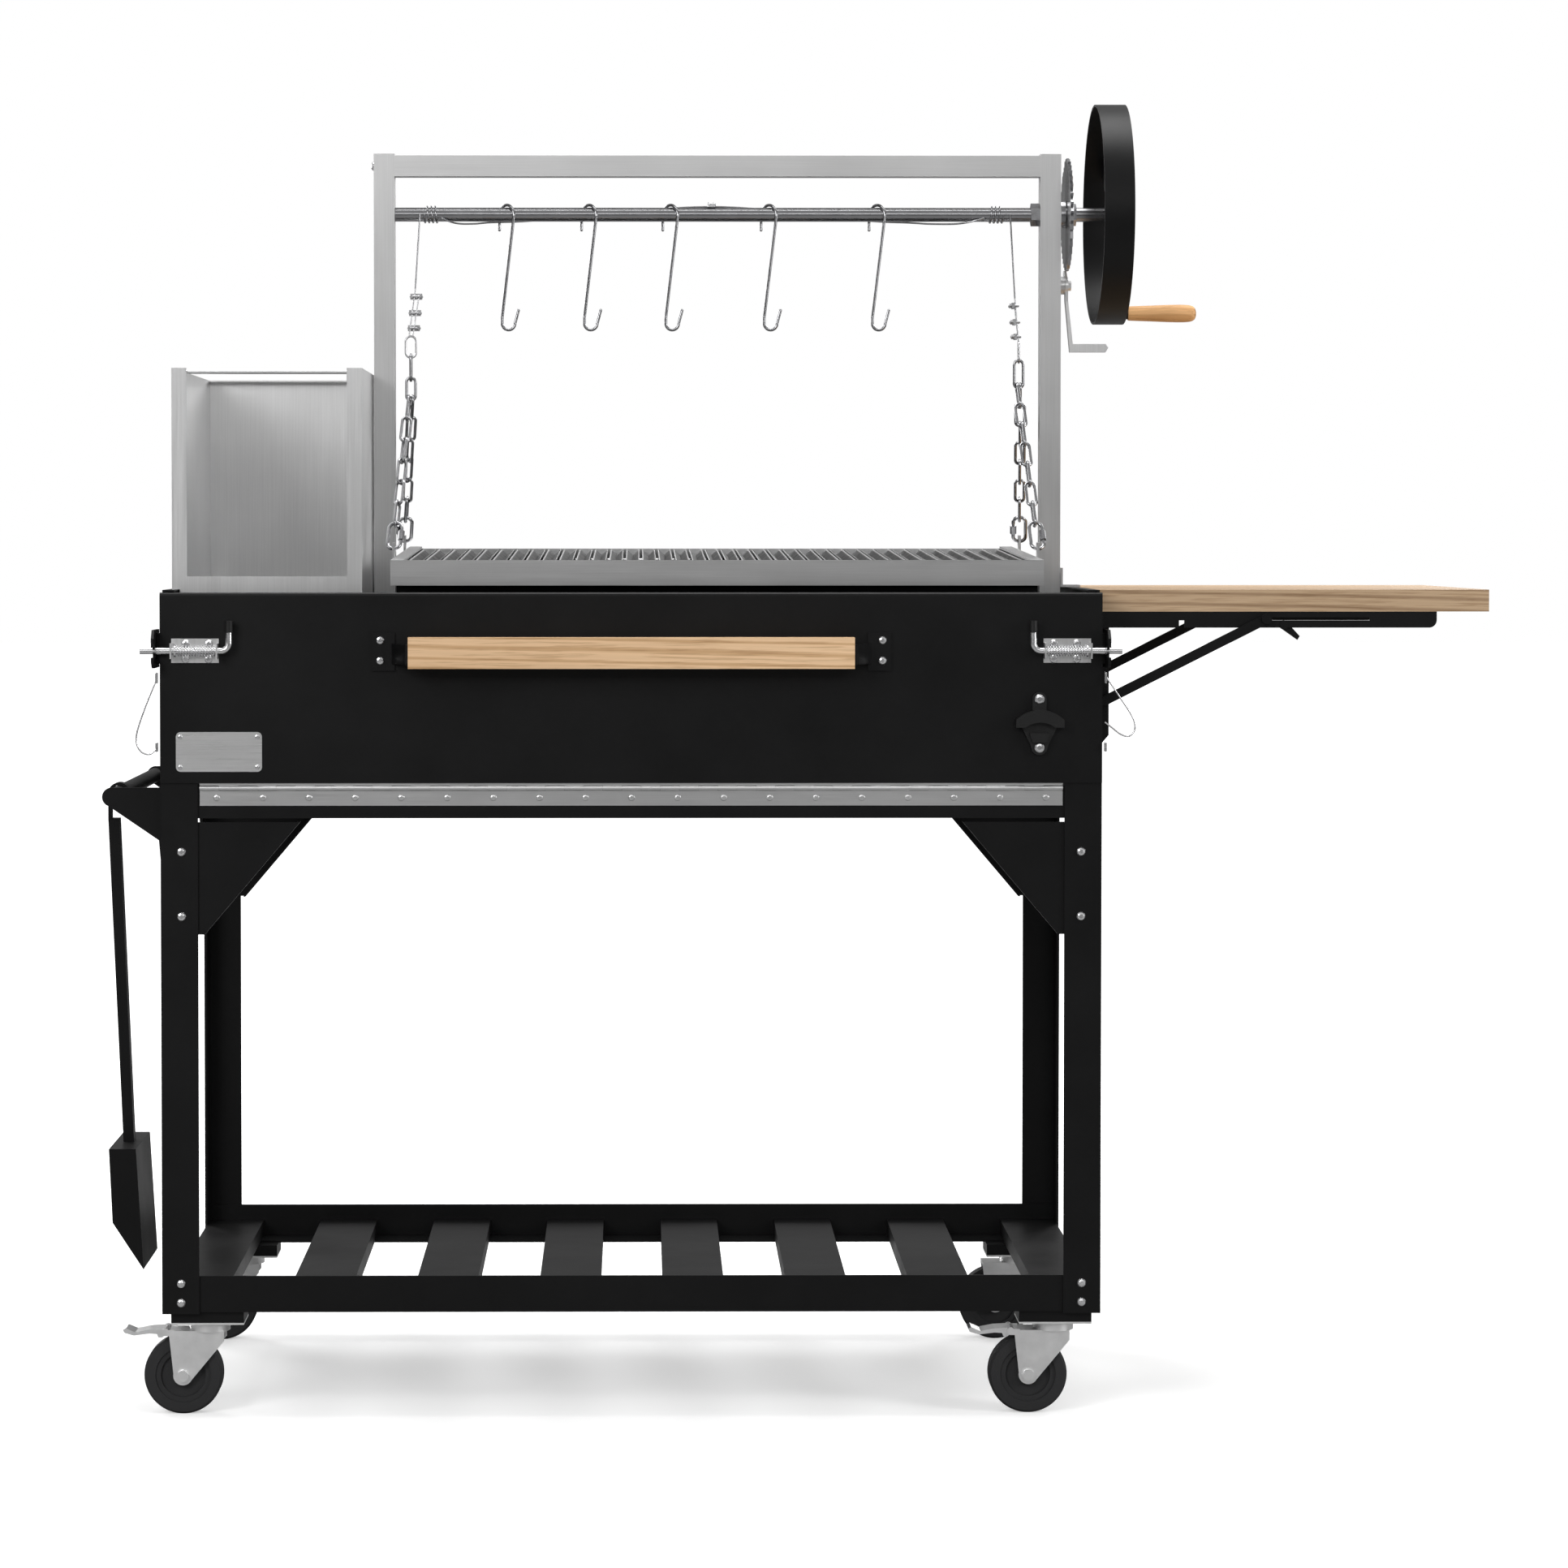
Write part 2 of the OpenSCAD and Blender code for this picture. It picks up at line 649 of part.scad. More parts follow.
// The doubled end of a cable, its eye and the clips that hold it: a saddle, a U bolt and two nuts each
module cable_clip() {
    span([-8, 1.2, -4], [8, 5, 4]);
    for (s = [-6, 6]) {
        translate([s, 0, 0]) along_y(-4.4, 9, 1.7);
        translate([s, 5, 0]) rotate([-90, 0, 0]) cylinder(h = 3, r = 3.2, $fn = 6);
    }
    translate([0, -3, 0]) along_x(-6, 6, 1.5);
}
module cable_end(top, eye, clips, turn) {
    y = -shaft_r - wire_r - 0.05;
    side = 2.5 * [cos(turn), sin(turn), 0];
    rod([top.x, y, top.z], [eye.x, y, eye.z + 14] - side, wire_r);
    rod([top.x, y, top.z - 8] + 2 * side, [eye.x, y, eye.z + 14] + side, wire_r);
    translate([eye.x, y, eye.z]) rotate([0, 0, turn]) link(26, 7, 1.4);
    for (z = clips) {
        share = (top.z - z) / (top.z - eye.z);
        translate([top.x + (eye.x - top.x) * share, y, z] + side * 0.8) rotate([0, 0, turn]) cable_clip();
    }
}
module cable_ends() cart() color("silver") {
    cable_end([left_cable, 0, 1472.6], [left_eye, 0, 1394], [1461.8, 1439.8, 1419.4], 0);
    cable_end([right_cable, 0, 1459.6], [right_eye, 0, 1387.4], [1449.7, 1427.7, 1408], 90);
}

// One chain link in its own X and Z, hanging from z = 0 to z = -pitch between wire centres
module link(inner, w, r) {
    side = (inner - 2 * (w - r)) / 2;
    for (s = [-1, 1]) {
        translate([s * w, 0, -side]) cylinder(h = 2 * side, r = r);
        translate([0, 0, s * side]) rotate([90 * s, 0, 0])
            rotate_extrude(angle = 180) translate([w, 0]) circle(r = r);
    }
}

// A line of links from one point to another, turned a little more than a quarter at each link
module chain_leg(from, to, count, quick) {
    v = to - from;
    length = norm(v);
    pitch = (length - quick) / count;
    turn = 630 / count;
    translate(from) rotate([0, acos(v.z / length), atan2(v.y, v.x)]) rotate([0, 180, 0]) {
        for (i = [0:count - 1]) translate([0, 0, -(i + 0.5) * pitch]) rotate([0, 0, i * turn])
            link(pitch + 0.5, chain_w, chain_r);
        translate([0, 0, -length + quick / 2]) rotate([0, 0, 90]) {
            link(quick + 0.5, 8.5, chain_r + 0.4);
            translate([8.5, 0, -7]) cylinder(h = 14, r = 4.4, $fn = 6);
        }
    }
}

// Where the chain holds the grate, at the front or the back
function eye_point(x, s) = let (y = grate_d / 2 + s * eye_y) [
    x, y * cos(grate_slope) - eye_h * sin(grate_slope) - grate_d / 2,
    grate_z + y * sin(grate_slope) + eye_h * cos(grate_slope) + 3.2
];

module hoist_chains() cart() color("silver") {
    y = -shaft_r - wire_r;
    translate([left_eye, y, 1366.2]) rotate([0, 0, 90]) link(30.6, chain_w, chain_r);
    translate([left_eye, y, 1337.4]) link(26.4, chain_w, chain_r);
    translate([right_eye, y, 1357.6]) link(33, chain_w, chain_r);
    for (s = [-1, 1]) {
        chain_leg([left_eye + s * chain_gap, y, 1324.8], eye_point(grate_left - 1.5, s), 6, 36);
        chain_leg([right_eye + s * chain_gap, y, 1341.7], eye_point(grate_left + grate_w + 1.5, s), 7, 36);
    }
}

/* Cooking grate, which slopes down to the drip channel at its front */
module grate_place() translate([grate_left, -grate_d / 2, grate_z]) rotate([grate_slope, 0, 0]) children();

module grate_frame() cart() color("silver") grate_place() {
    // Front drip channel
    span([0, 0, 0], [grate_w, 2, grate_h]);
    span([0, 2, 0], [grate_w, 26, 2]);
    span([0, 24, 2], [grate_w, 26, 14]);
    // Side channels
    for (x = [0, grate_w - 17]) span([x, 2, grate_h - 3], [x + 17, grate_d, grate_h]);
    for (x = [0, grate_w - 3]) span([x, 2, 2], [x + 3, grate_d, grate_h - 3]);
    // Rear bar
    span([3, grate_d - 3, 8], [grate_w - 3, grate_d, grate_h - 3]);
    // Lift eyes on the outer faces
    for (x = [-3, grate_w], y = [grate_d / 2 - eye_y, grate_d / 2 + eye_y]) difference() {
        span([x, y - 9, 12], [x + 3, y + 9, eye_h + 9]);
        translate([0, y, eye_h]) along_x(x - 1, x + 4, 5);
    }
}

module grate_bars() cart() color("dimgray") grate_place() {
    pitch = (grate_w - 34) / bar_count;
    for (i = [0:bar_count - 1]) translate([17 + (i + 0.5) * pitch, 0, 0]) plate_xz(14, grate_d - 3.2)
        polygon([[-9, 27], [0, 19], [9, 27], [9, 29], [0, 21.5], [-9, 29]]);
    // Cross rods under the bars
    for (y = [60, 250, 440]) translate([0, y, 15.8]) along_x(3, grate_w - 3, 3.2);
}

/* Side table */
module table_top() cart() color("burlywood")
    span([half_w, -arm_y, table_z], [half_w + table_len, -arm_y + table_w, table_z + table_t]);

// The release lever's pivot stands on the front arm
module release_pivot() translate([849.2, 0, 1023.6]) {
    along_y(-arm_y - 1.2, -arm_y, 5.5);
    along_y(-arm_y + steel_t, -arm_y + 7.4, 2.5);
    along_y(-arm_y + 7, -arm_y + 9, 4);
}

// What is the same at the front and the back of the table, drawn at the front
module table_sides() for (s = [0, 1])
    translate([0, s * (table_w - 2 * arm_y), 0]) mirror([0, s, 0]) children();

module table_arms() cart() color("black") {
    table_sides() table_arm();
    release_pivot();
}
// An arm with a slot for the strut, a notch for its lower bolt and a flange under the top
module table_arm() {
    difference() {
        plate_xz(-arm_y, -arm_y + steel_t) difference() {
            union() {
                translate([607, 1020]) square([arm_end - 617, 21]);
                translate([607, 1030]) square([arm_end - 607, 11]);
                translate([arm_end - 10, 1030]) circle(r = 10);
            }
            translate([slot_x - 5, slot_z - 2]) square([140, 4]);
            translate([712.2, 1019]) square([7, 10.5]);
        }
        translate([table_hinge_x, 0, table_hinge_z]) along_y(-arm_y - 1, -arm_y + 4, 4.05);
    }
    span([640, -arm_y + steel_t, table_z - steel_t], [arm_end, -arm_y + 24, table_z]);
}

module table_brackets() cart() color("black") table_sides() {
    y0 = -arm_y + steel_t + 0.5;
    plate_xz(y0, y0 + steel_t)
        polygon([[inner_w, 869], [612, 869], [621.4, 880], [621.4, 1034], [inner_w, 1034]]);
    span([inner_w, y0 + steel_t, 869], [inner_w + steel_t, y0 + 26, 1034]);
    translate([table_hinge_x, 0, table_hinge_z]) {
        along_y(-arm_y - 1, y0 + e, 4);
        along_y(-arm_y - 4, -arm_y - 0.6, 6.5);
    }
    translate([table_hinge_x, 0, strut_z]) {
        along_y(-arm_y - 6, y0 + e, 2.4);
        along_y(-arm_y - 9, -arm_y - 5.6, 6);
    }
}

module table_struts() cart() color("black") table_sides() {
    length = norm([slot_x - table_hinge_x, slot_z - strut_z]);
    rise = atan2(slot_z - strut_z, slot_x - table_hinge_x);
    translate([table_hinge_x, 0, strut_z]) rotate([0, -rise, 0]) {
        plate_xz(-arm_y - 5, -arm_y - 2) difference() {
            union() {
                translate([0, -6.3]) square([length, 12.6]);
                for (x = [0, length]) translate([x, 0]) circle(r = 6.3);
            }
            circle(r = 2.45);
        }
        translate([length, 0, 0]) along_y(-arm_y - 8, -arm_y - 5, 6.8);
    }
}

module release_lever() cart() color("black") {
    y0 = -arm_y + steel_t + 0.5;
    difference() {
        plate_xz(y0, y0 + steel_t) union() {
            translate([849.2, 1023.6]) circle(r = 6);
            polygon([[845, 1019.5], [853.5, 1027], [870, 1009], [867, 1004]]);
        }
        translate([849.2, 0, 1023.6]) along_y(y0 - 1, y0 + 4, 2.55);
    }
}

/* Side handle and shovel */
module side_handle() cart() color("black") {
    for (y = [-285, 248]) {
        plate_xz(y, y + steel_t) {
            translate([tube_x, tube_z]) circle(r = 12.3);
            polygon([
                [tube_x + 2, tube_z + 12.3], [-half_w, tube_z + 12.3], [-half_w, 722], [-609, 722],
                [-611, 746], [tube_x - 4, tube_z - 11.6]
            ]);
        }
        span([-609, y < 0 ? y : y + steel_t, 722], [-half_w, y < 0 ? y + 26 : y + 29, tube_z + 12.3]);
    }
    translate([tube_x, 0, tube_z]) along_y(-282, 248, tube_r);
}

// A folded scoop on a flat handle, hooked over the side handle
module coal_shovel() cart() color("black") translate([0, shovel_y, 0]) {
    inner = tube_r + 0.4;
    outer = tube_r + 4.2;
    plate_xz(-11, 11) {
        difference() {
            union() {
                translate([tube_x, tube_z]) circle(r = outer);
                translate([tube_x - outer, 766]) square([outer - inner, tube_z - 766]);
                translate([tube_x + inner, 790]) square([outer - inner, tube_z - 790]);
            }
            translate([tube_x, tube_z]) circle(r = inner);
            translate([tube_x - inner, 766]) square([2 * inner, tube_z - 766]);
        }
        polygon([[-686.2, 769], [-672, 769], [-654, 344], [-668, 344]]);
    }
    difference() {
        plate_xz(-85, 85) polygon([[-678.5, 344], [-643.4, 344], [-634, 187], [-674, 248]]);
        plate_xz(-83, 83) polygon([[-690, 342], [-645.4, 342], [-636.6, 180], [-690, 180]]);
    }
}

/* Meat hooks */
module meat_hook(x0) cart() color("silver") translate([x0, 0, shaft_z]) {
    r = 2;
    ball = r + 0.12;
    loop = 15.6;
    turn = 40;
    centre = -2.7;
    shift = -3.5;
    front = [loop * sin(turn) + shift, -loop * cos(turn), centre];
    waist = [-9.5, -3, -138];
    lower_r = 8.6;
    tip = [12.4, -3, -129];
    // Upper loop, over the shaft
    translate([shift, 0, centre]) rotate([0, 0, turn]) {
        rotate([90, 0, 90]) rotate_extrude(angle = 180) translate([loop, 0]) circle(r = r);
        translate([0, loop, -17]) cylinder(h = 17, r = r);
        translate([0, loop, -17]) sphere(r = ball);
    }
    translate(front) sphere(r = ball);
    rod(front, waist, r);
    translate(waist) sphere(r = ball);
    // Lower loop, which holds the meat
    translate([waist.x, waist.y, -147]) cylinder(h = waist.z + 147, r = r);
    translate([waist.x + lower_r, waist.y, -147]) rotate([90, 0, 0]) rotate([0, 0, 180])
        rotate_extrude(angle = 180) translate([lower_r, 0]) circle(r = r);
    translate([waist.x + 2 * lower_r, waist.y, -147]) sphere(r = ball);
    rod([waist.x + 2 * lower_r, waist.y, -147], tip, r);
    translate(tip) sphere(r = ball);
}
module meat_hook_1() meat_hook(hook_x[0]);
module meat_hook_2() meat_hook(hook_x[1]);
module meat_hook_3() meat_hook(hook_x[2]);
module meat_hook_4() meat_hook(hook_x[3]);
module meat_hook_5() meat_hook(hook_x[4]);

legs();
shelf_rails();
shelf_slats();
apron_rails();
gusset_plates();
frame_bolts();
caster_plates();
caster_fork_fl();
caster_fork_fr();
caster_fork_rl();
caster_fork_rr();
caster_wheel_fl();
caster_wheel_fr();
caster_wheel_rl();
caster_wheel_rr();
caster_brake_fl();
caster_brake_fr();
firebox_shell();
charcoal_grate();
fire_basket_hood();
front_door();
door_hinge_leaf();
frame_hinge_leaf();
door_handle_grip();
door_handle_brackets();
door_fasteners();
nameplate();
bottle_opener();
latch_brackets();
latch_bolt_left();
latch_bolt_right();
latch_spring_left();
latch_spring_right();
latch_keepers();
door_stays();
lift_frame();
shaft_bearings();
lift_shaft();
ratchet_gear();
handwheel();
crank_grip();
pawl_lever();
cable_wraps();
cable_drops();
cable_ends();
hoist_chains();
grate_frame();
grate_bars();
table_top();
table_arms();
table_brackets();
table_struts();
release_lever();
side_handle();
coal_shovel();
meat_hook_1();
meat_hook_2();
meat_hook_3();
meat_hook_4();
meat_hook_5();
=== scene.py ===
"""Studio scene of a wheeled wood and charcoal grill with a crank-raised grate."""
import math

import bmesh
import bpy
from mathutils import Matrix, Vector


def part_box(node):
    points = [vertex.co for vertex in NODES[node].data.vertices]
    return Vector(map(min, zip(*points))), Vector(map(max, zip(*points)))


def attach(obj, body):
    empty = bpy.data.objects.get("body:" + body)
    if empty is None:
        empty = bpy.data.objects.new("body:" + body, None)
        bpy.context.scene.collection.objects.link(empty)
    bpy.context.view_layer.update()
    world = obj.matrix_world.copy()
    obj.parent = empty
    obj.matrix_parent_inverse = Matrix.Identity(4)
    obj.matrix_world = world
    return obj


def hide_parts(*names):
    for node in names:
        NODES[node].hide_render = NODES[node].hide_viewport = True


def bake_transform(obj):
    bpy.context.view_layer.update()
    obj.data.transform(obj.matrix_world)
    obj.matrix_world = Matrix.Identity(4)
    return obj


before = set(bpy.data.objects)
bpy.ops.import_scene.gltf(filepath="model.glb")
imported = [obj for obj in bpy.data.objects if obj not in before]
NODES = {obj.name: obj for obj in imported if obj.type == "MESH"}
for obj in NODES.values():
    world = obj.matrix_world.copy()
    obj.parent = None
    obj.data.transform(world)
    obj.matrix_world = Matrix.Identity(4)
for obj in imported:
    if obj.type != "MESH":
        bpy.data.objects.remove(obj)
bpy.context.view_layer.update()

# Camera, in metres and degrees
CAMERA_AT = (-0.2076, -6.0538, 1.145)
CAMERA_DOWN = 1.8
CAMERA_RIGHT = 0.45
CAMERA_LENS = 102.97
CAMERA_SHIFT = (0.0712, -0.0711)

# Where the cart's own zero lies in the frame, in metres
CART_X = -0.2149
CART_Y = 0.0242

BLACK_NODES = (
    "legs shelf_rails shelf_slats apron_rails gusset_plates table_arms table_brackets handwheel front_door "
    "firebox_shell latch_keepers side_handle coal_shovel door_handle_brackets table_struts release_lever"
).split()
BRUSHED_X_NODES = "frame_hinge_leaf door_hinge_leaf grate_frame".split()
BRUSHED_Z_NODES = "fire_basket_hood latch_brackets pawl_lever".split()
ZINC_NODES = (
    "frame_bolts door_fasteners latch_bolt_left latch_bolt_right latch_spring_left latch_spring_right"
).split()
CASTER_NODES = "caster_brake_fl caster_brake_fr caster_plates".split()
CASTER_NODES += [f"caster_fork_{corner}" for corner in ("fl", "fr", "rl", "rr")]
DARK_ZINC_NODES = (
    "shaft_bearings lift_shaft ratchet_gear hoist_chains cable_wraps cable_drops door_stays"
).split() + [f"meat_hook_{i}" for i in range(1, 6)]


# ---------------------------------------------------------------- materials
class Material:
    """A node material around one Principled shader, with a few helpers to wire it."""

    def __init__(self, name, colour, roughness, metallic=0.0, specular=0.5):
        self.data = bpy.data.materials.new(name)
        self.data.use_nodes = True
        self.tree = self.data.node_tree
        self.shader = self.tree.nodes["Principled BSDF"]
        self.shader.inputs["Base Color"].default_value = (*colour, 1)
        self.shader.inputs["Roughness"].default_value = roughness
        self.shader.inputs["Metallic"].default_value = metallic
        self.shader.inputs["Specular IOR Level"].default_value = specular
        self.coords = self.node("ShaderNodeTexCoord")

    def node(self, kind, **values):
        made = self.tree.nodes.new(kind)
        for key, value in values.items():
            setattr(made, key, value)
        return made

    def link(self, out, into):
        self.tree.links.new(out, into)

    def stretched(self, scale):
        """Object coordinates, scaled by axis."""
        mapping = self.node("ShaderNodeMapping")
        mapping.inputs["Scale"].default_value = scale
        self.link(self.coords.outputs["Object"], mapping.inputs["Vector"])
        return mapping.outputs["Vector"]

    def noise(self, vector, scale, detail=4.0, roughness=0.55):
        noise = self.node("ShaderNodeTexNoise")
        noise.inputs["Scale"].default_value = scale
        noise.inputs["Detail"].default_value = detail
        noise.inputs["Roughness"].default_value = roughness
        self.link(vector, noise.inputs["Vector"])
        return noise.outputs["Fac"]

    def ramp(self, factor, stops):
        """A factor turned into a colour, from stops of place and colour."""
        ramp = self.node("ShaderNodeValToRGB")
        for _ in stops[2:]:
            ramp.color_ramp.elements.new(0.5)
        for element, (place, colour) in zip(ramp.color_ramp.elements, stops):
            element.position = place
            element.color = (*colour, 1)
        self.link(factor, ramp.inputs["Fac"])
        return ramp.outputs["Color"]

    def between(self, factor, low, high):
        """A factor from 0.3 to 0.7 turned into a number from low to high."""
        scale = self.node("ShaderNodeMapRange")
        for key, value in (("From Min", 0.3), ("From Max", 0.7), ("To Min", low), ("To Max", high)):
            scale.inputs[key].default_value = value
        self.link(factor, scale.inputs["Value"])
        return scale.outputs["Result"]

    def maths(self, operation, first, second=0.0):
        """A math node on one or two values; the second may be a number."""
        made = self.node("ShaderNodeMath", operation=operation)
        self.link(first, made.inputs[0])
        if isinstance(second, float):
            made.inputs[1].default_value = second
        else:
            self.link(second, made.inputs[1])
        return made.outputs["Value"]

    def multiplied(self, first, second):
        """Two colours multiplied together."""
        mix = self.node("ShaderNodeMix", data_type="RGBA", blend_type="MULTIPLY")
        mix.inputs["Factor"].default_value = 1.0
        self.link(first, mix.inputs["A"])
        self.link(second, mix.inputs["B"])
        return mix.outputs["Result"]

    def bump(self, height, strength, distance):
        """A fine relief on the surface, from a height."""
        bump = self.node("ShaderNodeBump")
        bump.inputs["Strength"].default_value = strength
        bump.inputs["Distance"].default_value = distance
        self.link(height, bump.inputs["Height"])
        self.link(bump.outputs["Normal"], self.shader.inputs["Normal"])


def powder_coat(name, colour, roughness, specular=0.3):
    """Satin powder coat: a fine orange-peel surface with slow changes in its sheen."""
    m = Material(name, colour, roughness, specular=specular)
    plain = m.stretched((1, 1, 1))
    m.bump(m.noise(plain, 900, 2), 0.12, 0.0004)
    m.link(m.between(m.noise(plain, 6, 3), roughness - 0.05, roughness + 0.06), m.shader.inputs["Roughness"])
    shade = [tuple(c * k for c in colour) for k in (0.8, 1.25)]
    m.link(m.ramp(m.noise(plain, 14), [(0.3, shade[0]), (0.7, shade[1])]), m.shader.inputs["Base Color"])
    return m.data


def brushed(name, along, colour=(0.74, 0.74, 0.74), roughness=0.32, crossbar=None):
    """Brushed stainless steel, with the grain along one axis, or along X within a crossbar's corners."""
    m = Material(name, colour, roughness, metallic=1.0)
    grain = m.noise(m.stretched(tuple(9 if axis == along else 1900 for axis in "xyz")), 1, 3, 0.6)
    if crossbar:
        low, high = crossbar
        place = m.node("ShaderNodeSeparateXYZ")
        m.link(m.coords.outputs["Object"], place.inputs["Vector"])
        inside = m.maths("GREATER_THAN", place.outputs["Z"], low.z)
        for test, value in (("GREATER_THAN", low.x), ("LESS_THAN", high.x)):
            inside = m.maths("MULTIPLY", inside, m.maths(test, place.outputs["X"], value))
        across = m.noise(m.stretched((9, 1900, 1900)), 1, 3, 0.6)
        choose = m.node("ShaderNodeMix", data_type="FLOAT")
        m.link(inside, choose.inputs["Factor"])
        m.link(grain, choose.inputs["A"])
        m.link(across, choose.inputs["B"])
        grain = choose.outputs["Result"]
    cloud = m.noise(m.stretched((1, 1, 1)), 4, 3)
    m.bump(grain, 0.03, 0.0002)
    m.link(m.between(grain, roughness - 0.04, roughness + 0.05), m.shader.inputs["Roughness"])
    light = m.ramp(cloud, [(0.3, tuple(c * 0.92 for c in colour)), (0.7, tuple(c * 1.06 for c in colour))])
    streak = m.ramp(grain, [(0.3, (0.9, 0.9, 0.9)), (0.7, (1, 1, 1))])
    m.link(m.multiplied(light, streak), m.shader.inputs["Base Color"])
    return m.data


def plated(name, colour, roughness):
    """Bright zinc plate with faint clouding."""
    m = Material(name, colour, roughness, metallic=1.0)
    cloud = m.noise(m.stretched((1, 1, 1)), 60, 4)
    m.link(m.between(cloud, roughness - 0.03, roughness + 0.05), m.shader.inputs["Roughness"])
    shades = [(0.3, tuple(c * 0.92 for c in colour)), (0.7, colour)]
    m.link(m.ramp(cloud, shades), m.shader.inputs["Base Color"])
    m.bump(m.noise(m.stretched((1, 1, 1)), 400, 2), 0.02, 0.0001)
    return m.data


def grill_steel(name, first=0.0, pitch=1.0, lip_highlights=False):
    """Bare dark grill steel. If asked, a channel bar's edges get a painted highlight, one bar to a pitch
    along X.
    """
    m = Material(name, (0.06, 0.06, 0.06), 0.4, metallic=0.9)
    wear_and_sheen = m.noise(m.stretched((1, 1, 1)), 45, 6, 0.7)
    shades = [(0.38, (0.012, 0.012, 0.013)), (0.6, (0.04, 0.04, 0.04)), (0.75, (0.14, 0.14, 0.14))]
    colour = m.ramp(wear_and_sheen, shades)
    if lip_highlights:
        place = m.node("ShaderNodeSeparateXYZ")
        m.link(m.coords.outputs["Object"], place.inputs["Vector"])
        turns = m.maths("DIVIDE", m.maths("SUBTRACT", place.outputs["X"], first), pitch)
        off_centre = m.maths("ABSOLUTE", m.maths("SUBTRACT", m.maths("FRACT", turns), 0.5))
        # Painted highlight: each bar's lips near its edges are coloured bright, brighter or duller with the
        # wear noise
        edge = m.ramp(off_centre, [(0.32, (0, 0, 0)), (0.37, (1, 1, 1))])
        bright = m.ramp(wear_and_sheen, [(0.3, (0.42, 0.42, 0.42)), (0.7, (0.75, 0.75, 0.75))])
        mix = m.node("ShaderNodeMix", data_type="RGBA")
        m.link(edge, mix.inputs["Factor"])
        m.link(colour, mix.inputs["A"])
        m.link(bright, mix.inputs["B"])
        colour = mix.outputs["Result"]
    m.link(colour, m.shader.inputs["Base Color"])
    m.link(m.between(wear_and_sheen, 0.45, 0.28), m.shader.inputs["Roughness"])
    m.bump(wear_and_sheen, 0.1, 0.0004)
    return m.data


def ash_wood(name, light, dark, stave=None):
    """Ash with its grain along X: growth bands, pores and slow changes of tone, in glued staves if asked."""
    m = Material(name, light, 0.5, specular=0.25)
    place = m.stretched((0.07, 2.2, 3.2))
    tint = None
    if stave:
        split = m.node("ShaderNodeSeparateXYZ")
        m.link(m.coords.outputs["Object"], split.inputs["Vector"])
        across = m.maths("DIVIDE", split.outputs["Y"], stave)
        pick = m.node("ShaderNodeTexWhiteNoise", noise_dimensions="1D")
        m.link(m.maths("FLOOR", across), pick.inputs["W"])
        moved = m.node("ShaderNodeVectorMath", operation="ADD")
        m.link(place, moved.inputs[0])
        m.link(pick.outputs["Color"], moved.inputs[1])
        place = moved.outputs["Vector"]
        board = m.ramp(pick.outputs["Value"], [(0.0, (0.82, 0.8, 0.78)), (1.0, (1.06, 1.05, 1.03))])
        to_middle = m.maths("ABSOLUTE", m.maths("SUBTRACT", m.maths("FRACT", across), 0.5))
        joint = m.ramp(to_middle, [(0.485, (1, 1, 1)), (0.498, (0.55, 0.5, 0.45))])
        tint = m.multiplied(board, joint)
    bands = m.node("ShaderNodeTexWave", wave_type="BANDS", bands_direction="DIAGONAL", wave_profile="SIN")
    bands.inputs["Scale"].default_value = 16
    bands.inputs["Distortion"].default_value = 5
    bands.inputs["Detail"].default_value = 3
    bands.inputs["Detail Scale"].default_value = 0.7
    m.link(place, bands.inputs["Vector"])
    middle = tuple((a + b) / 2 for a, b in zip(light, dark))
    bright = tuple(1.06 * c for c in light)
    tone = m.ramp(bands.outputs["Fac"], [(0.0, light), (0.55, bright), (0.85, middle), (1.0, dark)])
    pores = m.noise(m.stretched((14, 420, 420)), 1, 3, 0.6)
    fleck = m.ramp(pores, [(0.36, (0.78, 0.74, 0.69)), (0.5, (1, 1, 1))])
    drift = m.noise(m.stretched((1.2, 9, 9)), 1.5, 3)
    slow = m.ramp(drift, [(0.3, (0.9, 0.87, 0.83)), (0.7, (1.06, 1.05, 1.04))])
    colour = m.multiplied(m.multiplied(tone, fleck), slow)
    if tint:
        colour = m.multiplied(colour, tint)
    m.link(colour, m.shader.inputs["Base Color"])
    m.link(m.between(pores, 0.6, 0.46), m.shader.inputs["Roughness"])
    m.bump(pores, 0.15, 0.0004)
    return m.data


def rubber(name):
    """Black rubber with a fine, uneven sheen."""
    m = Material(name, (0.02, 0.02, 0.021), 0.6, specular=0.35)
    fine = m.noise(m.stretched((1, 1, 1)), 500, 3)
    m.bump(fine, 0.15, 0.0004)
    m.link(m.between(m.noise(m.stretched((1, 1, 1)), 20), 0.5, 0.68), m.shader.inputs["Roughness"])
    return m.data


# The crossbar's span between the posts. The bearing reaches in past the right post's inner face
POST_WIDTH = 0.028
CROSSBAR_LOW = 1.6236
BEARING_REACH = 0.012
frame_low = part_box("lift_frame")[0]
crossbar = (
    Vector((frame_low.x + POST_WIDTH, 0, CROSSBAR_LOW)),
    Vector((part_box("shaft_bearings")[0].x + BEARING_REACH, 0, CROSSBAR_LOW + POST_WIDTH)),
)

BLACK = powder_coat("black_coat", (0.0034, 0.0034, 0.0036), 0.4, 0.2)
CAST_BLACK = powder_coat("cast_black", (0.006, 0.006, 0.006), 0.34, 0.45)
SLEEVE = powder_coat("black_sleeve", (0.006, 0.006, 0.006), 0.45)
BRUSHED_X = brushed("brushed_steel_along_x", "x")
BRUSHED_Z = brushed("brushed_steel_along_z", "z", (0.84, 0.84, 0.84))
PLATE_STEEL = brushed("nameplate_steel", "x", (0.92, 0.92, 0.92), 0.3)
BRUSHED_FRAME = brushed("brushed_lift_frame", "z", (0.64, 0.64, 0.64), 0.34, crossbar)
ZINC = plated("bright_zinc", (0.78, 0.78, 0.79), 0.24)
CASTER_ZINC = plated("caster_zinc", (0.94, 0.94, 0.94), 0.4)
CLIP_ZINC = plated("clip_zinc", (0.6, 0.6, 0.61), 0.26)
